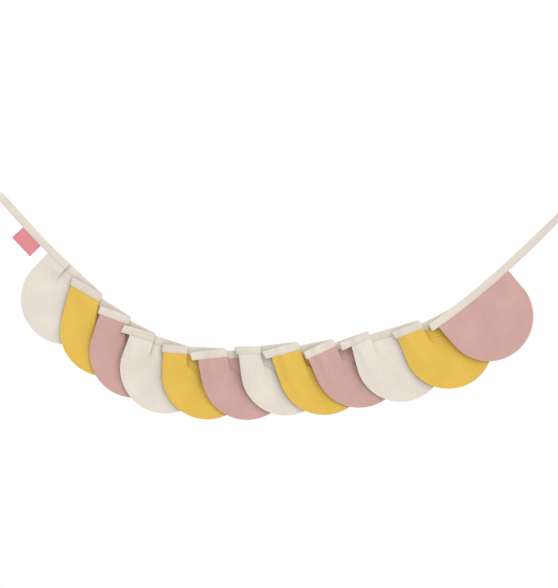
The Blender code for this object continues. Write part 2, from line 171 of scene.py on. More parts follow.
# left_x, left_z: middle of the tape's left fold; slope, run: the front run of tape from there;
# drop: how far the strip behind lies below the run at the tuck; strip_slope, strip: that strip;
# skew: lean of the left fold; tab: bare tape before the cloth; hang_x, hang_z, hang_slope: centre
# of the half-round and the flag's tilt; lift: how far the left edge stands forward
Row = namedtuple(
    "Row",
    "cloth left_x left_z slope run drop strip_slope strip skew tab hang_x hang_z hang_slope lift",
)
FLAGS = (
    Row("cream", 126, -137, -44.0, 54, 0.0, -42.8, 98, 0, 0, 161, -246, -44, 0.0),
    Row("yellow", 171, -205, -29.0, 79, 10.4, -32.5, 72, -11, 5, 248, -316, -24, 1.0),
    Row("pink", 234, -268, -20.6, 74, 8.9, -26.3, 60, -2, 6, 313, -364, -20, 1.0),
    Row("cream", 286, -309, -17.2, 76, 3.3, -18.0, 82, 11, 21, 381, -399, -17, 3.5),
    Row("yellow", 373, -353, -5.5, 59, 0.0, -2.9, 82, 4, 5, 474, -412, -3, 1.0),
    Row("pink", 437, -373, 6.4, 82, 4.9, 3.0, 87, -11, 17, 562, -413, 6, 1.5),
    Row("cream", 535, -360, 2.5, 58, 0.0, 6.8, 81, -10, 5, 648, -403, 10, 3.0),
    Row("yellow", 599, -371, 16.4, 82, 10.0, 12.4, 76, -17, 17, 732, -402, 16, 1.0),
    Row("pink", 689, -371, 24.7, 73, 11.0, 19.5, 76, 2, 5, 810, -386, 23.5, 1.5),
    Row("cream", 768, -351, 23.5, 71, 10.9, 16.7, 118, 6, 24, 902, -373, 15, 4.0),
    Row("yellow", 885, -328, 23.3, 69, 8.9, 27.0, 81, -15, 5, 1008, -344, 23.3, 1.0),
    Row("pink", 966, -309, 33.0, 0, 0.0, 0.0, 0, 4, 18, 1097, -283, 38.5, 1.0),
)

# The swag's line: place and slope where the tape starts, at each left fold, and on the right arm
SWAG_X = [0.0] + [row.left_x for row in FLAGS] + [LAST_CORNER[0], RIGHT_END[0]]
SWAG_Z = [0.0] + [row.left_z for row in FLAGS] + [LAST_CORNER[1], RIGHT_END[1]]
SWAG_SLOPE = [LEFT_END_SLOPE] + [row.slope for row in FLAGS] + [LAST_CORNER_SLOPE, RIGHT_END_SLOPE]

# Cloths: material's name, linear colour, threads' pitch in millimetres, share of slubs in the
# tone, depth of the weave in millimetres, sheen, and how dark the painted shade along seams is
Weave = namedtuple("Weave", "name colour pitch slub depth sheen seam")
TAPE_COLOUR = (0.565, 0.515, 0.452)
CLOTHS = {
    "cream": Weave("linen_cream", (0.59, 0.535, 0.478), 0.62, 0.55, 0.05, 0.08, 0.93),
    "yellow": Weave("linen_yellow", (0.590, 0.383, 0.064), 0.62, 0.55, 0.05, 0.06, 0.93),
    "pink": Weave("linen_pink", (0.465, 0.285, 0.258), 0.62, 0.55, 0.05, 0.08, 0.93),
    "tape": Weave("linen_tape", TAPE_COLOUR, 0.55, 0.5, 0.05, 0.08, 0.93),
    "label": Weave("label_cloth", (0.565, 0.195, 0.22), 0.34, 0.35, 0.03, 0.12, 0.86),
    "thread": Weave("sewing_thread", TAPE_COLOUR, 0.25, 0.3, 0.03, 0.1, 0.93),
}

# Weave of every cloth: waver of the threads, slubs along and across, clouds of tone, how the clouds
# vary the painted shade along seams, and finish
WAVER_SCALE, WAVER = 260.0, 2.2
SLUB_ALONG, SLUB_ACROSS, SLUB_DETAIL = 34.0, 1150.0, 3.0
CLOUD_SCALE, CLOUD_DETAIL = (19.0, 14.0, 9.0), 3.0
TONE_LOW, TONE_HIGH = 0.36, 0.64
DARKER, LIGHTER = 0.93, 1.07
SHADE_WEAR_CLOUD, SHADE_WEAR_LEAST = 0.6, 0.4
SLUB_HEIGHT, WEAVE_STRENGTH = 0.9, 0.55
ROUGH_GAP, ROUGH_THREAD = 0.97, 0.86
SHEEN_ROUGHNESS, GLOSS = 0.6, 0.2

# Studio, in metres: each light's place, softness in degrees, power and colour
KEY_LIGHT = ((2.1, -3.4, 1.9), 70.0, 1.35, (1.0, 0.99, 0.975))
REAR_LIGHT = ((-0.8, 3.2, 1.6), 90.0, 0.8, (1.0, 1.0, 1.0))
FLOOR_SIDE, FLOOR_LEVEL = 2.4, -1.35
FLOOR_COLOUR, FLOOR_ROUGHNESS = (0.82, 0.81, 0.79), 0.8
MOTTLE_SCALE, MOTTLE_DARK, MOTTLE_LIGHT = (3.0, 3.0, 3.0), 0.98, 1.02

# Each fold joins the layer that arrives to the one that leaves; a layer is a kind and a flag's row
Fold = namedtuple("Fold", "arrives leaves place line")


def direction(degrees):
    """Unit vector in the hanging plane, as (x, z)."""
    angle = math.radians(degrees)
    return Vector((math.cos(angle), math.sin(angle)))


def upright(vector):
    """The unit vector at right angles to this one, turned so that it points up."""
    across = Vector((-vector.y, vector.x)).normalized()
    return across if across.y > 0 else -across


def turned(vector, degrees):
    return Matrix.Rotation(math.radians(degrees), 2) @ vector


def ease(share):
    """A smooth step from 0 to 1, for one share or a whole array."""
    share = np.clip(share, 0.0, 1.0)
    return share * share * (3 - 2 * share)


def spread(low, high, step):
    """Places from one end to the other, evenly and about a step apart."""
    return np.linspace(low, high, max(round((high - low) / step), 1) + 1).tolist()


def below_swag(x, z):
    """How far a point of the hanging plane lies below the swag's line."""
    return np.interp(x, SWAG_X, SWAG_Z) - z


def along_swag(x, z):
    """Where a point's square foot on the swag's line is, from left to right."""
    slope = np.radians(np.interp(x, SWAG_X, SWAG_SLOPE))
    return x - np.tan(slope) * below_swag(x, z)


def tab_of(number):
    """Bare tape between a left fold and the flag's cloth."""
    return max(FLAGS[number].tab, FOLD_INSET) if number else 0.0


def tuck_length(number):
    """Length of the tuck that takes up what the runs of a flag's top edge have no room for."""
    row = FLAGS[number]
    runs = row.run + row.strip - tab_of(number) - FOLDED_ENDS * FOLD_INSET
    return (FLAG_WIDTH + END_MARGIN - runs - math.pi * LAYER) / 2


def hung(row):
    """Left corner of a flag as it hangs, and its directions along the top and down."""
    along = direction(row.hang_slope)
    down = -upright(along)
    return Vector((row.hang_x, row.hang_z)) - FLAG_RADIUS * along - FLAG_SIDE * down, along, down


def folds():
    """Every fold of the tape, in order along its length."""
    found = []
    for number, row in enumerate(FLAGS):
        left = Vector((row.left_x, row.left_z))
        if number:
            line = turned(upright(direction(row.slope)), -row.skew)
            found.append(Fold(("return", number - 1), ("front", number), left, line))
        if row.run:
            right = left + row.run * direction(row.slope)
            level = right - Vector((0.0, row.drop))
            back = level - tuck_length(number) * direction(row.strip_slope)
            end = level + row.strip * direction(row.strip_slope)
            found.append(Fold(("front", number), ("tuck", number), right, None))
            found.append(Fold(("tuck", number), ("strip", number), back, None))
            found.append(Fold(("strip", number), ("return", number), end, None))
    places = [Vector((FLAGS[0].left_x, FLAGS[0].left_z))] + [f.place for f in found]
    places.append(Vector(LAST_CORNER))
    for i, fold in enumerate(found):
        if fold.line is None:
            arriving = (places[i + 1] - places[i]).normalized()
            leaving = (places[i + 2] - places[i + 1]).normalized()
            found[i] = fold._replace(line=upright(arriving - leaving))
    return found


def softened(values, softness):
    """A row of values, one a step of the stack, smoothed by a bell of this width."""
    offsets = np.arange(-3 * softness, 3 * softness + 1)
    bell = np.exp(-0.5 * (offsets / softness) ** 2)
    margin = len(offsets) // 2
    padded = np.pad(values, margin, mode="edge")
    return np.convolve(padded, bell / bell.sum(), mode="valid")


def stacked(bends):
    """Depth of each layer of tape along the swag, each resting on the layers behind it."""
    ends = {("front", 0): [0.0], ("front", len(FLAGS) - 1): [RIGHT_END[0] + STACK_MARGIN]}
    for fold in bends:
        for layer in (fold.arrives, fold.leaves):
            ends.setdefault(layer, []).append(float(along_swag(*fold.place)))
    for number, row in enumerate(FLAGS[:-1]):
        corner, along, _ = hung(row)
        ends[("strip", number)].append(float(along_swag(*(corner + FLAG_WIDTH * along))))
    grid = np.arange(-STACK_MARGIN, RIGHT_END[0] + STACK_MARGIN, STACK_STEP)
    behind = np.zeros(len(grid))
    depths = {}
    for number in range(len(FLAGS)):
        for kind in ("strip", "tuck", "front", "return"):
            layer = (kind, number)
            if layer not in ends:
                continue
            low, high = min(ends[layer]) - STACK_REACH, max(ends[layer]) + STACK_REACH
            inside = (grid >= low) & (grid <= high)
            height = np.where(inside, behind + LAYER / 2, -np.inf)
            for sweep in (range(1, len(grid)), range(len(grid) - 2, -1, -1)):
                for i in sweep:
                    before = i - sweep.step
                    height[i] = max(height[i], height[before] - STACK_SLOPE * STACK_STEP)
            behind = np.where(inside, height + LAYER / 2, behind)
            depths[layer] = softened(LAYER / 2 - height, STACK_SOFTNESS)
    return grid, depths


def curve(start, start_slope, end, end_slope):
    """A smooth arm of the swag between two points, as a function of its share, and its chord."""
    chord = (end - start).length
    leave, arrive = chord * direction(start_slope), chord * direction(end_slope)

    def at(share):
        bend = share * (1 - share)
        return start.lerp(end, float(ease(share))) + bend * ((1 - share) * leave - share * arrive)

    return at, chord


def left_twist(place):
    """Turn of the tape about its own line near its left end."""
    return LEFT_TWIST * (1 - ease(place / LEFT_TWIST_REACH))


class Tape:
    """The tape's middle surface as a row of stations, and each flag's reach along it."""

    def __init__(self):
        self.centres = []
        self.crosses = []
        self.spans = []
        self.reach = 0.0
        self.reaches = []
        self.bends = folds()
        self.grid, self.depths = stacked(self.bends)
        self.lay()
        self.centres, self.crosses = np.array(self.centres), np.array(self.crosses)
        self.reaches = np.array(self.reaches)
        path = np.gradient(self.centres, self.reaches, axis=0)
        normals = np.cross(path, self.crosses)
        self.normals = normals / np.linalg.norm(normals, axis=1, keepdims=True)

    def depth(self, layer, x, z):
        return np.interp(along_swag(x, z), self.grid, self.depths[layer])

    def put(self, plane, half, depth, twist=0.0):
        """Adds a station of the tape and gives its reach."""
        angle = math.radians(twist)
        centre = np.array((plane.x, depth, plane.y))
        cross = np.array((half.x, 0.0, half.y)) * math.cos(angle)
        cross[1] = HALF_TAPE * math.sin(angle)
        if self.centres:
            self.reach += float(np.linalg.norm(centre - self.centres[-1]))
        self.centres.append(centre)
        self.crosses.append(cross)
        self.reaches.append(self.reach)
        return self.reach

    def arm(self, at, chord, layer, places, twist, line=None):
        """Stations along an arm of the swag; a line given is the fold line that it starts from."""
        found = []
        for place in places:
            share = place / chord
            ahead, back = min(share + SLOPE_SHARE, 1.0), max(share - SLOPE_SHARE, 0.0)
            square = upright(at(ahead) - at(back))
            lean = square
            if line:
                skewed = 1 - float(ease(place / SKEW_EASE))
                lean = (square + skewed * (line - square)).normalized()
            half = lean * HALF_TAPE / lean.dot(square)
            depth = self.depth(layer, *at(share))
            found.append(self.put(at(share), half, depth, float(twist(place))))
        return found

    def turn_of(self, fold, arriving):
        """Axis, outward direction and radius of a fold's turn."""
        outward = Vector((fold.line.y, -fold.line.x))
        outward = outward if outward.dot(arriving) > 0 else -outward
        gap = self.depth(fold.leaves, *fold.place) - self.depth(fold.arrives, *fold.place)
        radius = abs(float(gap)) / 2
        return fold.place - (radius + TAPE_THICKNESS / 2) * outward, outward, radius

    def turn(self, fold, axis, outward, radius):
        """Stations around a fold, as a half-turn in depth about the fold's line."""
        near, far = self.depth(fold.arrives, *axis), self.depth(fold.leaves, *axis)
        for i in range(1, TURN_STEPS):
            angle = math.pi * (i / TURN_STEPS - 0.5)
            place = axis + radius * math.cos(angle) * outward
            depth = near + (1 + math.sin(angle)) / 2 * (far - near)
            self.put(place, fold.line * HALF_TAPE, depth)

    def run(self, start, end, lines, layer):
        """Stations along a straight run between two turns, with lines that ease into the folds."""
        along = (end - start).normalized()
        length = (end - start).length
        square = upright(along)
        near = min(SKEW_EASE, length / 3)
        found = []
        for place in spread(0.0, length, STATION_STEP):
            ease_in = 1 - float(ease(place / near))
            ease_out = 1 - float(ease((length - place) / near))
            line = square + ease_in * (lines[0] - square) + ease_out * (lines[1] - square)
            if layer[0] in ("tuck", "return"):
                line = lines[0].lerp(lines[1], place / length)
            line = line.normalized()
            centre = start + float(place) * along
            half = line * HALF_TAPE / line.dot(square)
            found.append(self.put(centre, half, self.depth(layer, *centre)))
        return found

    def cloth_from(self, number, reach, turned_in):
        """Starts a flag's cloth, past the bare tab of its tape."""
        self.spans.append([reach + max(tab_of(number) - turned_in, 0.0), reach])

    def lay(self):
        """Lays the whole tape: left arm, the folded runs of the flags, and the right arm."""
        last = len(FLAGS) - 1
        corner = Vector((FLAGS[0].left_x, FLAGS[0].left_z))
        at, chord = curve(Vector((0, 0)), LEFT_END_SLOPE, corner, FLAGS[0].slope)
        arm = spread(0.0, chord - ARM_GAP, STATION_STEP)
        self.arm(at, chord, ("front", 0), arm, left_twist)
        start, place, line = corner, corner, upright(direction(FLAGS[0].slope))
        for fold in self.bends:
            kind, number = fold.arrives
            axis, outward, radius = self.turn_of(fold, fold.place - place)
            found = self.run(start, axis, (line, fold.line), fold.arrives)
            if kind == "front":
                self.cloth_from(number, found[0], (start - place).length)
            if kind == "strip":
                self.spans[-1][1] = found[-1] - END_MARGIN
            self.turn(fold, axis, outward, radius)
            start, place, line = axis, fold.place, fold.line
        at, chord = curve(start, FLAGS[-1].slope, Vector(LAST_CORNER), LAST_CORNER_SLOPE)
        arm = spread(0.0, chord, STATION_STEP)
        found = self.arm(at, chord, ("front", last), arm, lambda place: 0.0, line)
        self.cloth_from(last, found[0], (start - place).length)
        self.spans[-1][1] = found[-1]
        last_corner, right_end = Vector(LAST_CORNER), Vector(RIGHT_END)
        at, chord = curve(last_corner, LAST_CORNER_SLOPE, right_end, RIGHT_END_SLOPE)
        arm = spread(0.0, chord, STATION_STEP)[1:]
        self.arm(at, chord, ("front", last), arm, lambda place: RIGHT_TWIST * ease(place / chord))

    def at(self, values, reaches):
        """The tape's centres, crosses or normals at any distances along it."""
        return np.stack([np.interp(reaches, self.reaches, v) for v in values.T], axis=-1)

    def opening(self, reaches, spans):
        """Half the width of the tape's slot: open round cloth, closed elsewhere."""
        inside = [np.minimum(reaches - low, high - reaches) for low, high in spans]
        share = ease(np.max(inside, axis=0) / SLOT_EASE + 1)
        return SLOT_CLOSED + (SLOT_OPEN - SLOT_CLOSED) * share


def new_piece(name, points, faces, grain, edge, cloth):
    """An object from points in millimetres, with its cloth's own coordinates for the weave."""
    mesh = bpy.data.meshes.new(name)
    mesh.from_pydata((points * MM).tolist(), [], faces)
    grains = mesh.attributes.new("grain", "FLOAT_VECTOR", "POINT")
    grains.data.foreach_set("vector", grain.ravel() * MM)
    # edge: where painted shade lies along seams, grooves and the label's border
    edges = mesh.attributes.new("edge", "FLOAT", "POINT")
    edges.data.foreach_set("value", edge.ravel())
    mesh.polygons.foreach_set("use_smooth", [True] * len(mesh.polygons))
    mesh.materials.append(cloth)
    mesh.update()
    made = bpy.data.objects.new(name, mesh)
    bpy.context.scene.collection.objects.link(made)
    return made


def dressed(piece, node=None):
    """Hangs a piece on the garland's body, in place of a node of the solids."""
    if node:
        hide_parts(node)
    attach(piece, "root")
    return piece


def grid_faces(index, turned_over=False):
    """Quads over a grid of vertex numbers."""
    corners = (index[:-1, :-1], index[1:, :-1], index[1:, 1:], index[:-1, 1:])
    quads = np.stack([c.ravel() for c in corners], axis=1)
    return quads[:, ::-1] if turned_over else quads


def grid_normals(middle):
    """Front-facing unit normals of a grid of points whose rows go down and columns to the right."""
    across = np.gradient(middle, axis=1)
    down = np.gradient(middle, axis=0)
    normals = np.cross(down, across)
    return normals / np.maximum(np.linalg.norm(normals, axis=2, keepdims=True), 1e-9)


def cloth_piece(name, middle, half, grain, edge, cloth):
    """A closed sheet about a grid of middle points; its two faces meet along all four edges."""
    rows, columns = middle.shape[:2]
    rim = np.ones((rows, columns), bool)
    rim[1:-1, 1:-1] = False
    offset = grid_normals(middle) * half[..., None]
    front = np.arange(rows * columns).reshape(rows, columns)
    back = front.copy()
    back[~rim] = rows * columns + np.arange((~rim).sum())
    outer = np.where(rim[..., None], middle, middle + offset)
    points = np.concatenate([outer.reshape(-1, 3), (middle - offset)[~rim]])
    grains = np.concatenate([grain.reshape(-1, 3), grain[~rim]])
    edges = np.concatenate([edge.ravel(), edge[~rim]])
    faces = np.concatenate([grid_faces(front), grid_faces(back, True)])
    return new_piece(name, points, faces.tolist(), grains, edges, cloth)


def rounded(distance):
    """Half the cloth's thickness at a distance from its edge, which is round."""
    radius = CLOTH_THICKNESS / 2
    inward = 1 - np.clip(distance / radius, 0.0, 1.0)
    return radius * np.sqrt(1 - inward**2)


def ripples(across, down, number, amount, length):
    """Soft uneven waves over a sheet, the same each time for one number."""
    chance = np.random.default_rng(number)
    total = np.zeros(across.shape)
    for _ in range(RIPPLE_WAVES):
        angle = chance.uniform(0, math.pi)
        wave = length * chance.uniform(*RIPPLE_LENGTHS)
        phase = chance.uniform(0, 2 * math.pi)
        way = across * math.cos(angle) + down * math.sin(angle)
        total += np.sin(2 * math.pi * way / wave + phase)
    return amount * total / math.sqrt(RIPPLE_WAVES)


def flag_drop(across):
    """Length of a flag's cloth below the tape at a place across it."""
    inside = FLAG_RADIUS**2 - (FLAG_RADIUS - across) ** 2
    return FLAG_SIDE + np.sqrt(np.maximum(inside, 0.0))


def from_edge(across, drop):
    """Distance of a place in the flat flag from its sides and round bottom."""
    side = np.minimum(across, FLAG_WIDTH - across)
    round_side = FLAG_RADIUS - np.hypot(across - FLAG_RADIUS, drop - FLAG_SIDE)
    return np.maximum(np.where(drop < FLAG_SIDE, side, round_side), 0.0)


class Fall:
    """How a flag's cloth opens out of the tuck below the tape, in steps across it."""

    def __init__(self, hems, across, along, down):
        moves = np.diff(hems, axis=0)
        runs = moves[:, 0] * along.x + moves[:, 2] * along.y
        self.aside = moves[:, 0] * down.x + moves[:, 2] * down.y
        self.flat = np.diff(across)
        self.length = np.hypot(runs, moves[:, 1])
        angle = np.arctan2(moves[:, 1], runs)
        self.angle = np.where(angle < -math.pi / 2, math.pi, angle)
        flat_tuck = self.angle > FLAT_TUCK_ANGLE
        tuck = self.length[flat_tuck].sum()
        short = np.where(flat_tuck, min(1.0, TURN_LENGTH / max(tuck, TURN_LENGTH)), 1.0)
        self.backward = np.where(np.abs(self.angle) > FOLD_ANGLE, self.length * short, 0.0)

    def at(self, share):
        """Way along the flag, way down it and share of the way back, at each column."""
        angle = self.angle * max(share, LEAST_FOLD)
        lengths = self.flat + (self.length - self.flat) * share
        backs = self.backward * np.sin(angle)
        if backs.any():
            backs = backs / backs.sum()
        ways = (lengths * np.cos(angle), self.aside * share, backs)
        return [np.concatenate([[0.0], np.cumsum(way)]) for way in ways]


def flag_columns(start, end, tape):
    """Distances along the tape of a flag's columns, close together at its two edges."""
    edge = np.array(EDGE_PLACES)
    margin = edge[-1] + COLUMN_GAP
    laid = tape.reaches[(tape.reaches > start + margin) & (tape.reaches < end - margin)]
    return np.concatenate([start + edge, laid, end - edge[::-1]])


def flag_piece(number, row, tape, cloth):
    """One flag: its cloth from inside the slot to the round edge, with a turned and sewn edge."""
    start, end = tape.spans[number]
    corner, along, down = hung(row)
    reaches = flag_columns(start, end, tape)
    across = (reaches - start) / (end - start) * FLAG_WIDTH
    centres, crosses = tape.at(tape.centres, reaches), tape.at(tape.crosses, reaches)
    hems = centres - crosses * (HALF_TAPE + BELOW_TAPE) / HALF_TAPE
    shift = Vector((hems[0][0], hems[0][2])) - corner - BELOW_TAPE * down
    fall = Fall(hems, across, along, down)
    front, behind = ("front", number), ("strip" if row.run else "front", number)

    rows = [centres + crosses * up / HALF_TAPE for up in ROWS_IN_SLOT]
    drops = [np.full(len(across), -HALF_TAPE - up) for up in ROWS_IN_SLOT]
    ends = 1 - (np.array(EDGE_PLACES[::-1]) / (FLAG_SIDE + FLAG_RADIUS))
    lowest = 1 - FLAG_ROWS_END / flag_drop(FLAG_RADIUS)
    shares = np.concatenate([np.linspace(0, lowest, FLAG_ROWS), ends])
    for share in shares:
        folded = 1 / (1 + (share / TUCK_HALF_OPEN) ** 2)
        drop = BELOW_TAPE + (flag_drop(across) - BELOW_TAPE) * share
        way, aside, back = fall.at(folded)
        slide = 1 - ease(drop / SHIFT_FADE)
        x = corner.x + drop * down.x + slide * shift.x + way * along.x + aside * down.x
        z = corner.y + drop * down.y + slide * shift.y + way * along.y + aside * down.y
        stack = tape.depth(front, x, z)
        stack = stack + back * (tape.depth(behind, x, z) - stack)
        stacked_share = 1 - ease((below_swag(x, z) - HALF_TAPE) / DEPTH_FADE)
        hang = HANG_FRONT + LEAN_BACK * across
        hang = hang + WAVE * np.sin(2 * math.pi * across / FLAG_WIDTH + WAVE_SHIFT * number)
        lift = row.lift * np.exp(-(((drop - LIFT_DROP) / LIFT_SPREAD) ** 2))
        lift = lift * (1 - ease(across / LIFT_WIDTH))
        depth = stacked_share * stack + (1 - stacked_share) * hang - lift
        rows.append(np.stack([x, depth, z], axis=1))
        drops.append(drop)

    middle, drop = np.array(rows), np.array(drops)
    wide = np.broadcast_to(across, drop.shape)
    margin = from_edge(wide, drop)
    level = np.zeros(drop.shape)
    free = ease(drop / FREE_DROP)
    right, up = middle[..., 0], middle[..., 2]
    wrinkle = ripples(right, up, number, DRAPE_AMOUNT, DRAPE_LENGTH) * free
    wrinkle += ripples(right, up, number + CRINKLE_FIRST, CRINKLE_AMOUNT, CRINKLE_LENGTH) * free
    pucker = ripples(right, level, number + PUCKER_FIRST, PUCKER_AMOUNT, PUCKER_LENGTH)
    wrinkle += pucker * np.exp(-((drop / PUCKER_REACH) ** 2)) * ease(drop / PUCKER_START)
    round_way = np.arctan2(drop - FLAG_SIDE, wide - FLAG_RADIUS) * FLAG_RADIUS
    pucker = ripples(round_way, level, number + SEAM_FIRST, SEAM_PUCKER, SEAM_PUCKER_LENGTH)
    wrinkle += pucker * np.exp(-((margin / SEAM_PUCKER_REACH) ** 2)) * free
    middle[..., 1] -= wrinkle

    seam = 1 - ease((margin - SEAM_WIDTH) / SEAM_FADE)
    half = rounded(margin) * (1 + SEAM_RISE * seam * free)
    grain = np.stack([wide, drop, np.full(drop.shape, FLAG_GRAIN * number)], axis=-1)
    # Painted shade in a line along the ridge where the turned seam ends
    ridge_shade = np.exp(-(((margin - SEAM_WIDTH - SEAM_FADE / 2) / SEAM_RIDGE) ** 2)) * free
    piece = cloth_piece(f"linen_flag_{number + 1:02d}", middle, half, grain, ridge_shade, cloth)
    return dressed(piece, f"flag_{number + 1:02d}_{row.cloth}")


def tape_section(slot, swell):
    """The tape's section as (up, off) at each station: round the outside, then the inside."""
    low, top = -HALF_TAPE, HALF_TAPE
    front = [
        (low + up, slot * slots + LEAF * leaves + rise + swell * swells)
        for up, slots, leaves, rise, swells in TAPE_PROFILE
    ]
    back = [(up, -off) for up, off in front[-2::-1]]
    inside = [
        (low + INSIDE_UP, -slot),
        (top - LEAF, -slot * INSIDE_SHARE),
        (top - LEAF, slot * INSIDE_SHARE),
        (low + INSIDE_UP, slot),
    ]
    return front + back + inside


def tape_piece(tape, spans, cloth):
    """The folded tape as one closed loft along its stations, with its stitched lower edge."""
    reaches = tape.reaches
    slot = tape.opening(reaches, spans)
    swell = ripples(reaches, reaches * 0, *TAPE_SWELL)
    sway = ripples(reaches, reaches * 0, *TAPE_SWAY)
    section = tape_section(slot, swell)
    columns = []
    for up, off in section:
        place = tape.centres + tape.crosses * up / HALF_TAPE
        columns.append(place - tape.normals * (off + sway)[:, None])
    points = np.array(columns)
    count, stations = points.shape[:2]
    index = np.arange(count * stations).reshape(count, stations)
    faces = grid_faces(np.concatenate([index, index[:1]])).tolist()
    outside = 2 * len(TAPE_PROFILE) - 1
    for station, turned_over in ((0, False), (stations - 1, True)):
        ring = index[:, station].tolist()
        for i in range(len(TAPE_PROFILE) - 2):
            opposite = outside - 1 - i
            quad = [ring[i], ring[i + 1], ring[opposite - 1], ring[opposite]]
            faces.append(quad[::-1] if turned_over else quad)
    ups = np.array([up for up, _ in section])
    grain = np.stack(np.broadcast_arrays(reaches[None, :], ups[:, None], TAPE_GRAIN), axis=-1)
    # Painted shade in the groove of the stitches
    groove_shade = np.exp(-(((ups - STITCH_UP) / STITCH_GROOVE) ** 2))
    edge = np.repeat(groove_shade, stations)
    piece = new_piece("binding_tape", points.reshape(-1, 3), faces, grain, edge, cloth)
    return dressed(piece, "tape")


def stitches_piece(tape, spans, cloth):
    """Front and back stitches along the tape's lower edge, each a short arched thread."""
    starts = np.arange(STITCH_PITCH, tape.reaches[-1] - 2 * STITCH_PITCH, STITCH_PITCH)
    steps = np.linspace(0, 1, STITCH_SECTIONS)
    reaches = starts[:, None] + steps * STITCH_LENGTH
    slot = tape.opening(reaches.ravel(), spans).reshape(reaches.shape)
    sway = ripples(reaches, reaches * 0, *TAPE_SWAY)
    centres, crosses = tape.at(tape.centres, reaches), tape.at(tape.crosses, reaches)
    normals = tape.at(tape.normals, reaches)
    arch = THREAD_ARCH * np.sin(math.pi * steps) - THREAD_SINK
    slim = THREAD_RADIUS * np.sqrt(np.sin(math.pi * (THREAD_TIP + (1 - 2 * THREAD_TIP) * steps)))
    points, faces, grains = [], [], []
    for side in (1, -1):
        off = sway + side * (slot + LEAF + arch)
        path = centres + crosses * STITCH_UP / HALF_TAPE - normals * off[..., None]
        ring = []
        for i in range(THREAD_SIDES):
            angle = 2 * math.pi * i / THREAD_SIDES
            lean = crosses / HALF_TAPE * math.cos(angle) - normals * math.sin(angle)
            ring.append(path + lean * slim[None, :, None])
        rings = np.stack(ring, axis=2)
        base = len(points) * rings.size // 3
        index = base + np.arange(rings.size // 3).reshape(rings.shape[:3])
        wrapped = np.concatenate([index, index[:, :, :1]], axis=2)
        here, there = wrapped[:, :-1], wrapped[:, 1:]
        sides = (here[..., :-1], there[..., :-1], there[..., 1:], here[..., 1:])
        faces += np.stack(sides, axis=-1).reshape(-1, 4).tolist()
        faces += index[:, 0, :].tolist() + index[:, -1, ::-1].tolist()
        points.append(rings.reshape(-1, 3))
        along = np.broadcast_to(reaches[..., None], rings.shape[:3])
        turn = np.broadcast_to(np.arange(THREAD_SIDES) * THREAD_TURN, rings.shape[:3])
        grain = np.stack([along, turn, np.full(along.shape, THREAD_GRAIN)], axis=-1)
        grains.append(grain.reshape(-1, 3))
    points, grain = np.concatenate(points), np.concatenate(grains)
    piece = new_piece("tape_stitches", points, faces, grain, np.zeros(len(points)), cloth)
    return dressed(piece)


def label_piece(tape, cloth):
    """The bare label, its top edge caught in the tape, folded double at its lower edge."""
    end = LABEL_START + LABEL_LENGTH
    edge = np.array(EDGE_PLACES)
    inner = spread(LABEL_START + LABEL_MARGIN, end - LABEL_MARGIN, LABEL_STEP)
    reaches = np.concatenate([LABEL_START + edge, inner, end - edge[::-1]])
    inner = spread(BELOW_TAPE - HALF_TAPE, LABEL_DROP - LABEL_MARGIN, LABEL_STEP)
    top = -HALF_TAPE - TOP_IN_SLOT
    drops = np.concatenate([[top, top + TOP_ROW], inner, LABEL_DROP - edge[::-1]])
    centres, crosses = tape.at(tape.centres, reaches), tape.at(tape.crosses, reaches)
    drop = np.broadcast_to(drops[:, None], (len(drops), len(reaches)))
    wide = np.broadcast_to(reaches - LABEL_START, drop.shape)
    middle = centres[None] - crosses[None] * ((HALF_TAPE + drop) / HALF_TAPE)[..., None]
    free = np.maximum(drop, 0.0) / LABEL_DROP
    bow = LABEL_BOW * np.sin(math.pi * wide / LABEL_LENGTH) * free
    middle[..., 1] -= LABEL_CURL * free**2 + bow
    wave = ripples(wide, drop, *LABEL_WAVE) * free
    middle = middle + grid_normals(middle) * wave[..., None]
    margin = np.minimum(np.minimum(wide, LABEL_LENGTH - wide), LABEL_DROP - drop)
    half = rounded(np.maximum(margin, 0.0)) * LABEL_THINNER
    grain = np.stack([wide, drop, np.full(drop.shape, LABEL_GRAIN)], axis=-1)
    # Painted shade in a line along the label's sewn border
    border_shade = np.exp(-(((margin - LABEL_BORDER) / LABEL_BORDER_WIDTH) ** 2)) * (drop > 0)
    piece = cloth_piece("sewn_label", middle, half, grain, border_shade, cloth)
    return dressed(piece, "label")


class Nodes:
    """Short way to add linked nodes to a material."""

    def __init__(self, material):
        material.use_nodes = True
        self.tree = material.node_tree
        self.shader = self.tree.nodes["Principled BSDF"]

    def add(self, kind, *inputs, out=0, **settings):
        """Adds a node; each input is a value, another node's output, or None to leave it."""
        made = self.tree.nodes.new(kind)
        for name, value in settings.items():
            setattr(made, name, value)
        for socket, value in zip(made.inputs, inputs):
            self.feed(socket, value)
        return made.outputs[out]

    def feed(self, socket, value):
        """Links an output to a socket or sets its value."""
        if isinstance(value, bpy.types.NodeSocket):
            self.tree.links.new(value, socket)
        elif value is not None:
            socket.default_value = value

    def math(self, operation, *inputs):
        return self.add("ShaderNodeMath", *inputs, operation=operation)

    def noise(self, grain, scale, detail=2.0):
        """Noise over the cloth, stretched by a scale in each of its directions."""
        stretched = self.add("ShaderNodeVectorMath", grain, scale, operation="MULTIPLY")
        return self.add("ShaderNodeTexNoise", stretched, None, 1.0, detail)

    def mix(self, share, low, high):
        made = self.tree.nodes.new("ShaderNodeMix")
        made.data_type = "RGBA"
        for name, value in (("Factor_Float", share), ("A_Color", low), ("B_Color", high)):
            socket = next(s for s in made.inputs if s.identifier == name)
            self.feed(socket, value)
        return next(s for s in made.outputs if s.identifier == "Result_Color")


def shade(colour, factor):
    """A colour made lighter or darker, with full opacity."""
    return (*[min(c * factor, 1.0) for c in colour], 1.0)


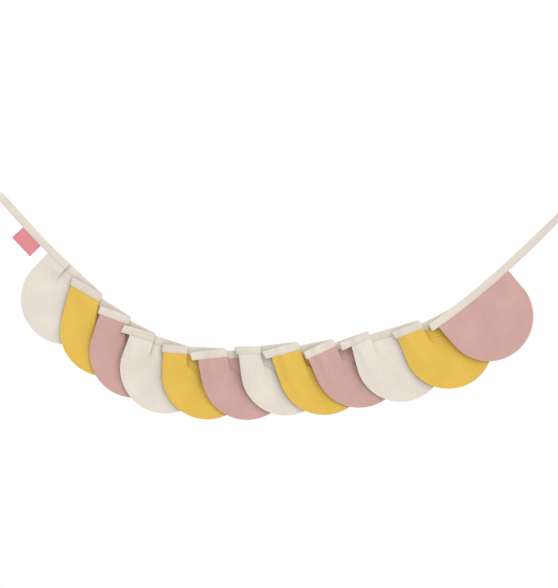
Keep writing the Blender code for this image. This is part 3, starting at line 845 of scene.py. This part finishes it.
def woven(weave):
    """Plain-woven cloth: two sets of threads with slubs, clouds of tone, and painted shade on
    seams.
    """
    material = bpy.data.materials.new(weave.name)
    nodes = Nodes(material)
    grain = nodes.add("ShaderNodeAttribute", attribute_name="grain", out=1)
    # edge: where painted shade lies along seams, grooves and the label's border
    edge = nodes.add("ShaderNodeAttribute", attribute_name="edge", out=2)
    split = nodes.add("ShaderNodeSeparateXYZ", grain)
    waver = nodes.noise(grain, (WAVER_SCALE, WAVER_SCALE, 1.0))
    rows = []
    for axis in (0, 1):
        bend = nodes.math("MULTIPLY", waver, WAVER)
        place = split.node.outputs[axis]
        place = nodes.math("MULTIPLY_ADD", place, math.pi / (weave.pitch * MM), bend)
        rows.append(nodes.math("SINE", place))
    over = nodes.math("MULTIPLY_ADD", nodes.math("MULTIPLY", *rows), 0.5, 0.5)
    warp, weft = (nodes.math("ABSOLUTE", row) for row in rows)
    gap = nodes.math("SUBTRACT", weft, warp)
    threads = nodes.math("MULTIPLY_ADD", gap, over, warp)
    long_slubs = nodes.noise(grain, (SLUB_ALONG, SLUB_ACROSS, 1.0), SLUB_DETAIL)
    cross_slubs = nodes.noise(grain, (SLUB_ACROSS, SLUB_ALONG, 1.0), SLUB_DETAIL)
    cloud = nodes.noise(grain, CLOUD_SCALE, CLOUD_DETAIL)
    slubs = nodes.math("ADD", long_slubs, cross_slubs)
    clouds = nodes.math("MULTIPLY", cloud, 1 - weave.slub)
    tone = nodes.math("MULTIPLY_ADD", slubs, 0.5 * weave.slub, clouds)
    tone = nodes.add("ShaderNodeMapRange", tone, TONE_LOW, TONE_HIGH, 0.0, 1.0)
    base = nodes.mix(tone, shade(weave.colour, DARKER), shade(weave.colour, LIGHTER))
    # Painted shade along seams, grooves and the label's border, its strength varied by the clouds
    shade_and_wear = nodes.math("MULTIPLY_ADD", cloud, SHADE_WEAR_CLOUD, SHADE_WEAR_LEAST)
    base = nodes.mix(nodes.math("MULTIPLY", edge, shade_and_wear), base, shade(weave.colour, weave.seam))
    bump = nodes.add("ShaderNodeBump", WEAVE_STRENGTH, weave.depth * MM, out=0)
    height = nodes.math("MULTIPLY_ADD", slubs, SLUB_HEIGHT, threads)
    nodes.feed(bump.node.inputs["Height"], height)
    rough = nodes.add("ShaderNodeMapRange", threads, 0.0, 1.0, ROUGH_GAP, ROUGH_THREAD)
    for socket, value in (("Base Color", base), ("Roughness", rough), ("Normal", bump)):
        nodes.feed(nodes.shader.inputs[socket], value)
    nodes.shader.inputs["Sheen Weight"].default_value = weave.sheen
    nodes.shader.inputs["Sheen Roughness"].default_value = SHEEN_ROUGHNESS
    nodes.shader.inputs["Specular IOR Level"].default_value = GLOSS
    return material


def painted(name, colour, roughness):
    """Painted floor with a faint mottle."""
    material = bpy.data.materials.new(name)
    nodes = Nodes(material)
    place = nodes.add("ShaderNodeTexCoord", out=3)
    mottle = nodes.noise(place, MOTTLE_SCALE)
    base = nodes.mix(mottle, shade(colour, MOTTLE_DARK), shade(colour, MOTTLE_LIGHT))
    nodes.feed(nodes.shader.inputs["Base Color"], base)
    nodes.shader.inputs["Roughness"].default_value = roughness
    return material


def camera():
    """Straight-on camera that frames the garland as the photo does."""
    data = bpy.data.cameras.new("camera")
    data.sensor_width = SENSOR
    data.lens = SENSOR * CAMERA_BACK / (PHOTO_HEIGHT * MM_PER_PIXEL * MM)
    made = bpy.data.objects.new("camera", data)
    made.location = (VIEW_CENTRE[0] * MM, -CAMERA_BACK, VIEW_CENTRE[1] * MM)
    made.rotation_euler = (math.pi / 2, 0, 0)
    bpy.context.scene.collection.objects.link(made)
    bpy.context.scene.camera = made


def light(name, place, softness, power, colour):
    """A soft distant light that shines from its place towards the middle of the garland."""
    data = bpy.data.lights.new(name, "SUN")
    data.angle = math.radians(softness)
    data.energy = power
    data.color = colour
    made = bpy.data.objects.new(name, data)
    made.location = place
    target = Vector((VIEW_CENTRE[0] * MM, 0, VIEW_CENTRE[1] * MM))
    made.rotation_euler = (target - made.location).to_track_quat("-Z", "Y").to_euler()
    bpy.context.scene.collection.objects.link(made)


def studio():
    """White surroundings, a pale floor well below the garland, and two soft lights."""
    world = bpy.data.worlds.new("studio")
    world.use_nodes = True
    surroundings = world.node_tree.nodes["Background"]
    surroundings.inputs["Color"].default_value = (1.0, 1.0, 1.0, 1.0)
    surroundings.inputs["Strength"].default_value = 1.0
    bpy.context.scene.world = world
    bpy.context.scene.view_settings.view_transform = "Standard"
    light("key", *KEY_LIGHT)
    light("rear", *REAR_LIGHT)
    mesh = bpy.data.meshes.new("floor")
    middle = VIEW_CENTRE[0] * MM
    signs = ((-1, -1), (1, -1), (1, 1), (-1, 1))
    corners = [(middle + x * FLOOR_SIDE, y * FLOOR_SIDE, FLOOR_LEVEL) for x, y in signs]
    mesh.from_pydata(corners, [], [(0, 1, 2, 3)])
    mesh.materials.append(painted("floor_paint", FLOOR_COLOUR, FLOOR_ROUGHNESS))
    floor = bpy.data.objects.new("floor", mesh)
    bpy.context.scene.collection.objects.link(floor)


camera()
studio()
tape = Tape()
cloths = {slot: woven(weave) for slot, weave in CLOTHS.items()}
spans = [*tape.spans, (LABEL_START, LABEL_START + LABEL_LENGTH)]
binding = tape_piece(tape, spans, cloths["tape"])
stitches = stitches_piece(tape, spans, cloths["thread"])
for number, row in enumerate(FLAGS):
    flag = flag_piece(number, row, tape, cloths[row.cloth])
label = label_piece(tape, cloths["label"])
